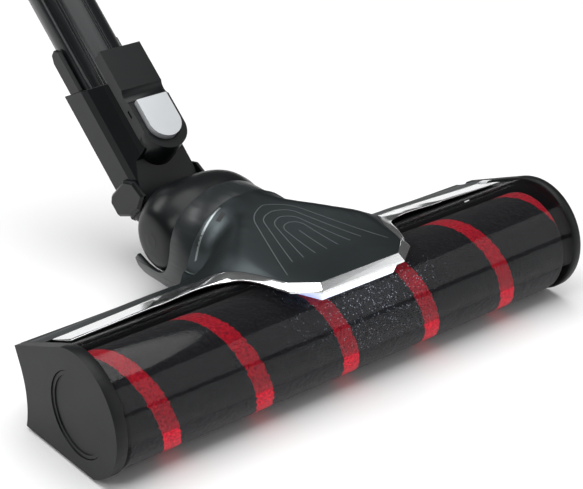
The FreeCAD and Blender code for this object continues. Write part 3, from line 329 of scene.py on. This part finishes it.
LOOKS = {
    "roller_core": "grey", "drive_hub": "grey", "output_shaft": "steel", "tail_plug": "grey",
    "tail_pin": "steel", "motor_mount": "dark", "roller_motor": "steel", "gear_box": "dark",
    "left_end_cap": "cap", "left_cap_disc": "cap", "right_end_cap": "cap", "lock_disc": "cap",
    "tail_bush": "bronze", "roller_window": "window", "chassis": "black", "wheel_left": "rubber",
    "wheel_right": "rubber", "wheel_axle_left": "steel", "wheel_axle_right": "steel",
    "wheel_clip_left": "black", "wheel_clip_right": "black", "base_screws": "screw",
    "felt_lip": "felt", "top_cover": "cover", "bright_trim": "trim", "trim_end": "trim",
    "strip_bed": "black",
    "rear_wall_left": "black", "rear_wall_right": "black", "lamp_lens": "lamp",
    "lamp_board": "board", "air_duct": "dark", "swivel_drum": "drum", "drum_bearing": "dark",
    "drum_clip": "dark", "elbow": "neck", "neck_sleeve": "neck", "latch_housing": "neck",
    "release_button": "button", "button_spring": "steel", "neck_ear_left": "neck",
    "neck_ear_right": "neck", "guide_tongue_left": "neck", "guide_tongue_right": "neck",
    "extension_tube": "tube", "tube_end_ring": "neck", "roller_pile": "pile",
}
for node_name, look in LOOKS.items():
    node = NODES[node_name]
    node.data.materials.clear()
    node.data.materials.append(M[look])
    for face in node.data.polygons:
        face.material_index = 0


# ---- mesh helpers ----------------------------------------------------------------------------
def make_object(name, points, faces, material, smooth=True):
    mesh = bpy.data.meshes.new(name)
    mesh.from_pydata([tuple(p) for p in points], [], faces)
    mesh.validate()
    mesh.update()
    if material:
        mesh.materials.append(material)
    for face in mesh.polygons:
        face.use_smooth = smooth
    made = bpy.data.objects.new(name, mesh)
    bpy.context.scene.collection.objects.link(made)
    return made


def soften(node_name, width, segments=2, angle=35.0):
    """Welds a CAD node's corners and rounds its edges a little."""
    node = NODES[node_name]
    weld = node.modifiers.new("weld", "WELD")
    weld.merge_threshold = 0.00001
    bevel = node.modifiers.new("edges", "BEVEL")
    bevel.width = width
    bevel.segments = segments
    bevel.limit_method = "ANGLE"
    bevel.angle_limit = math.radians(angle)
    bevel.harden_normals = True
    bevel.use_clamp_overlap = True


# ---- roller pile -----------------------------------------------------------------------------
def make_pile():
    """The pile as a closed tube whose outside and ends are broken up into small tufts."""
    rows, turns = 420, 200
    inner = ROLLER_R - PILE_DEPTH + 0.02 * MM
    skin = ROLLER_R - 0.1 * MM
    end_inset = 0.6 * MM
    points, faces = [], []
    profile = [(-ROLLER_HALF, inner), (-ROLLER_HALF, ROLLER_R - PILE_CORNER)]
    for i in range(rows + 1):
        profile.append((-ROLLER_HALF + end_inset + 2 * (ROLLER_HALF - end_inset) * i / rows, skin))
    profile += [(ROLLER_HALF, ROLLER_R - PILE_CORNER), (ROLLER_HALF, inner)]
    count = len(profile)
    for i, (x, r) in enumerate(profile):
        loose = 0.0 if i in (0, count - 1) else 1.0
        for j in range(turns):
            a = 2 * math.pi * j / turns
            place = Vector((x, r * math.cos(a), r * math.sin(a)))
            tuft = noise.noise(place * 900.0) * 0.00016 + noise.noise(place * 300.0) * 0.0001
            radius = min(r + loose * (tuft - 0.0001), ROLLER_R)
            points.append((x, SHIFT_Y + radius * math.cos(a), ROLLER_Z + radius * math.sin(a)))
    for i in range(count):
        k = (i + 1) % count
        for j in range(turns):
            m = (j + 1) % turns
            faces.append((i * turns + j, i * turns + m, k * turns + m, k * turns + j))
    made = make_object("pile_sleeve", points, faces, M["pile"])
    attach(made, "roller")
    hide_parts("roller_pile")


make_pile()


def make_felt():
    """The felt lip as a strip with a matted, uneven face."""
    low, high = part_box("felt_lip")
    columns, rows = 240, 10
    points, faces = [], []
    for i in range(columns + 1):
        x = low[0] + (high[0] - low[0]) * i / columns
        for k in range(rows):
            turn = 2 * math.pi * (k + 0.5) / rows
            side = math.copysign(min(1.0, abs(math.cos(turn)) * 1.35), math.cos(turn))
            rise = math.copysign(min(1.0, abs(math.sin(turn)) * 1.35), math.sin(turn))
            place = Vector((x, side * 0.01, rise * 0.01))
            loose = 1.0 - 0.16 * (0.5 + noise.noise(place * 420.0))
            y = (low[1] + high[1]) / 2 + side * loose * (high[1] - low[1]) / 2
            z = (low[2] + high[2]) / 2 + rise * loose * (high[2] - low[2]) / 2
            points.append((x, y, z))
    for i in range(columns):
        for k in range(rows):
            m = (k + 1) % rows
            faces.append((i * rows + k, i * rows + m, (i + 1) * rows + m, (i + 1) * rows + k))
    faces.append(tuple(range(rows))[::-1])
    faces.append(tuple(columns * rows + k for k in range(rows)))
    made = make_object("felt_strip", points, faces, M["felt"])
    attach(made, "head")
    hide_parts("felt_lip")


make_felt()

# edge roundings, where they aren't 0.4 mm, and the nodes whose edges stay as they are
EDGES = {
    "left_end_cap": 1.3 * MM, "right_end_cap": 1.3 * MM, "neck_sleeve": 0.7 * MM,
    "latch_housing": 0.9 * MM, "swivel_drum": 0.6 * MM, "bright_trim": 0.25 * MM,
}
UNSOFTENED = ("roller_pile", "roller_window", "top_cover", "elbow", "felt_lip", "release_button")
for name in LOOKS:
    if name not in UNSOFTENED:
        soften(name, EDGES.get(name, 0.4 * MM))


# the button's broad face stays flat beside its rounded rim
soften("release_button", 1.1 * MM, segments=4)
shading = NODES["release_button"].modifiers.new("shading", "WEIGHTED_NORMAL")
shading.keep_sharp = True


# ---- engraved lines on the cover -------------------------------------------------------------
def surface_tree(node_name):
    mesh = NODES[node_name].data
    return BVHTree.FromPolygons([v.co.copy() for v in mesh.vertices],
                                [tuple(p.vertices) for p in mesh.polygons])


def drape(tree, x, y):
    """The place on a surface straight below a point in plan."""
    return tree.ray_cast(Vector((x, y, 0.2)), Vector((0, 0, -1)))[0]


def ribbon(name, tree, path, width, rise, material, body):
    """A thin raised line that follows a surface, with its root a little under it."""
    points, faces = [], []
    root = 0.3 * MM
    count = len(path)
    for i, (x, y) in enumerate(path):
        ahead = path[min(i + 1, count - 1)]
        behind = path[max(i - 1, 0)]
        along = Vector((ahead[0] - behind[0], ahead[1] - behind[1], 0)).normalized()
        side = Vector((-along.y, along.x, 0)) * width / 2
        for sign, lift in ((-1, -root), (-1, rise), (1, rise), (1, -root)):
            place = drape(tree, x + sign * side.x, y + sign * side.y)
            points.append(place + Vector((0, 0, lift)))
    for i in range(count - 1):
        for k in range(4):
            m = (k + 1) % 4
            faces.append((i * 4 + k, i * 4 + m, (i + 1) * 4 + m, (i + 1) * 4 + k))
    faces.append((3, 2, 1, 0))
    last = (count - 1) * 4
    faces.append((last, last + 1, last + 2, last + 3))
    made = make_object(name, points, faces, material, smooth=False)
    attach(made, body)
    return made


ENGRAVED = (
    ((28.0, -5.0), (12.6, 36.5), (9.6, 44.0), (0.0, 47.6)),
    ((19.2, 2.7), (9.0, 34.7), (7.4, 39.6), (0.0, 41.0)),
    ((13.0, 2.8), (6.6, 30.0), (5.0, 34.2), (0.0, 35.2)),
    ((6.4, 3.0), (5.2, 24.6), (4.4, 29.0), (0.0, 29.4)),
)


def rounded_path(leg, bend_low, bend, apex):
    """One engraved line from its left end over the apex to its right end, in millimetres."""
    path = []
    for k in range(14):
        t = k / 14
        path.append((leg[0] + (bend_low[0] - leg[0]) * t, leg[1] + (bend_low[1] - leg[1]) * t))
    for k in range(13):
        t = k / 12
        a, b, c = (1 - t) ** 2, 2 * t * (1 - t), t * t
        path.append(tuple(a * p + b * q + c * r for p, q, r in zip(bend_low, bend, apex)))
    mirrored = [(-x, y) for x, y in path]
    return mirrored + path[-2::-1]


def engraved_lines():
    tree = surface_tree("top_cover")
    line = Maker("engraved_line", (0.13, 0.145, 0.15), 0.4, metallic=0.6)
    line.mottle(60.0, 0.15)
    rows = [rounded_path(*row) for row in ENGRAVED]
    rows.append([(0.0, 2.8 + 19.0 * k / 12) for k in range(13)])
    for index, row in enumerate(rows):
        metres = [(x * MM, y * MM + SHIFT_Y) for x, y in row]
        made = ribbon("cover_line_%d" % (index + 1), tree, metres, 0.00045, 0.00006,
                      line.material, "head")


engraved_lines()


def rear_edge_lines():
    """Painted highlights on the chamfers down both sides of the cover's rear arch, each with a small dark
    inlay at its top.
    """
    tree = surface_tree("top_cover")
    # a lighter metallic ribbon stands in for light caught on each rear chamfer: a painted highlight
    light = Maker("painted_chamfer_highlight", (0.3, 0.33, 0.335), 0.35, metallic=0.8)
    light.mottle(60.0, 0.1)
    for side, name in ((-1, "left"), (1, "right")):
        bend = [(14.0 + 16.5 * t, 60.4 - 3.2 * t * t) for t in (k / 16 for k in range(17))]
        path = [(side * x * MM, y * MM + SHIFT_Y) for x, y in bend]
        made = ribbon("rear_chamfer_highlight_" + name, tree, path, 0.0012, 0.00005, light.material, "head")
        patch = [(side * x * MM, y * MM + SHIFT_Y) for x, y in ((15.0, 56.6), (17.0, 56.1), (19.0, 55.6))]
        made = ribbon("inlay_" + name, tree, patch, 0.0024, 0.00008, M["dark"], "head")


rear_edge_lines()


# ---- floor, light and camera -----------------------------------------------------------------
def make_stage():
    floor = make_object("floor", [(-3, -3, 0), (3, -3, 0), (3, 3, 0), (-3, 3, 0)], [(0, 1, 2, 3)],
                        None, smooth=False)
    made = Maker("pale_floor", (0.88, 0.88, 0.88), 0.6, specular=0.2)
    made.mottle(3.0, 0.01)
    floor.data.materials.append(made.material)


def area_light(name, place, target, size, size_y, power):
    data = bpy.data.lights.new(name, "AREA")
    data.shape = "RECTANGLE"
    data.size = size
    data.size_y = size_y
    data.energy = power
    lamp = bpy.data.objects.new(name, data)
    lamp.location = place
    aim = Vector(target) - Vector(place)
    lamp.rotation_euler = aim.to_track_quat("-Z", "Y").to_euler()
    bpy.context.scene.collection.objects.link(lamp)


def make_lights():
    world = bpy.data.worlds.new("studio")
    world.use_nodes = True
    back = world.node_tree.nodes["Background"]
    back.inputs["Color"].default_value = (1, 1, 1, 1)
    back.inputs["Strength"].default_value = 0.1
    bpy.context.scene.world = world
    area_light("overhead", (0, 0, 1.9), (0, 0, 0), 2.0, 2.0, 44)
    area_light("front_right", (0.85, -1.15, 0.66), (0, -0.08, 0.03), 1.7, 1.05, 6.5)
    area_light("left_key", (-1.0, -0.45, 1.0), (0, 0, 0.05), 0.45, 0.45, 5)
    area_light("back", (-0.5, 1.0, 0.8), (0, 0, 0.05), 0.5, 0.35, 4)


def make_camera():
    data = bpy.data.cameras.new("camera")
    data.sensor_fit = "HORIZONTAL"
    data.sensor_width = 36.0
    data.lens = CAMERA_LENS
    data.clip_start = 0.01
    camera = bpy.data.objects.new("camera", data)
    camera.location = CAMERA_PLACE
    camera.rotation_euler = (math.radians(90 - CAMERA_DOWN), 0, math.radians(CAMERA_TURN))
    bpy.context.scene.collection.objects.link(camera)
    bpy.context.scene.camera = camera


make_stage()
make_lights()
make_camera()
bpy.context.scene.view_settings.view_transform = "Standard"
